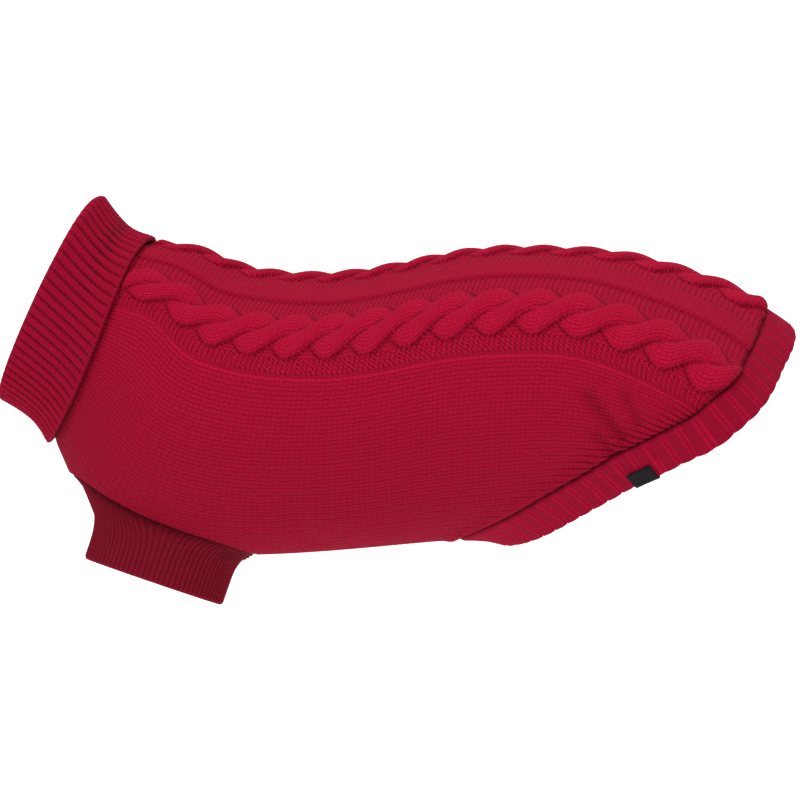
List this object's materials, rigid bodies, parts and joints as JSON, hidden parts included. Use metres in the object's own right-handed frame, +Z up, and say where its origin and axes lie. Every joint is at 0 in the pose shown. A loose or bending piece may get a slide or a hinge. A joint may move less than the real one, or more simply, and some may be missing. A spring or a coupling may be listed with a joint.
{
  "type": "dog sweater",
  "caption": "Cable-knit dog pullover with a folded ribbed turtleneck, short ribbed sleeves and a ribbed hem, shown filled out.",
  "frame": {"origin": "point on the inside of the back, on the spine just behind the withers, where the wearer's back holds the sweater up", "axes": "+X from the neck to the tail, +Z up, +Y to the dog's right"},
  "size_m": [0.5027, 0.1617, 0.2595],
  "materials": {
    "knit_back": "matte knitted wool-blend yarn",
    "knit_belly": "matte knitted wool-blend yarn",
    "rib_collar": "matte knitted wool-blend yarn",
    "rib_sleeve_left": "matte knitted wool-blend yarn",
    "rib_sleeve_right": "matte knitted wool-blend yarn",
    "rib_hem": "matte knitted wool-blend yarn",
    "satin_label": "black woven satin, no text"
  },
  "bodies": {
    "root": {"back_panel": "knit_back", "belly_panel": "knit_belly", "collar": "rib_collar", "sleeve_left": "rib_sleeve_left", "sleeve_right": "rib_sleeve_right", "hem_band": "rib_hem", "label": "satin_label"}
  },
  "joints": []
}
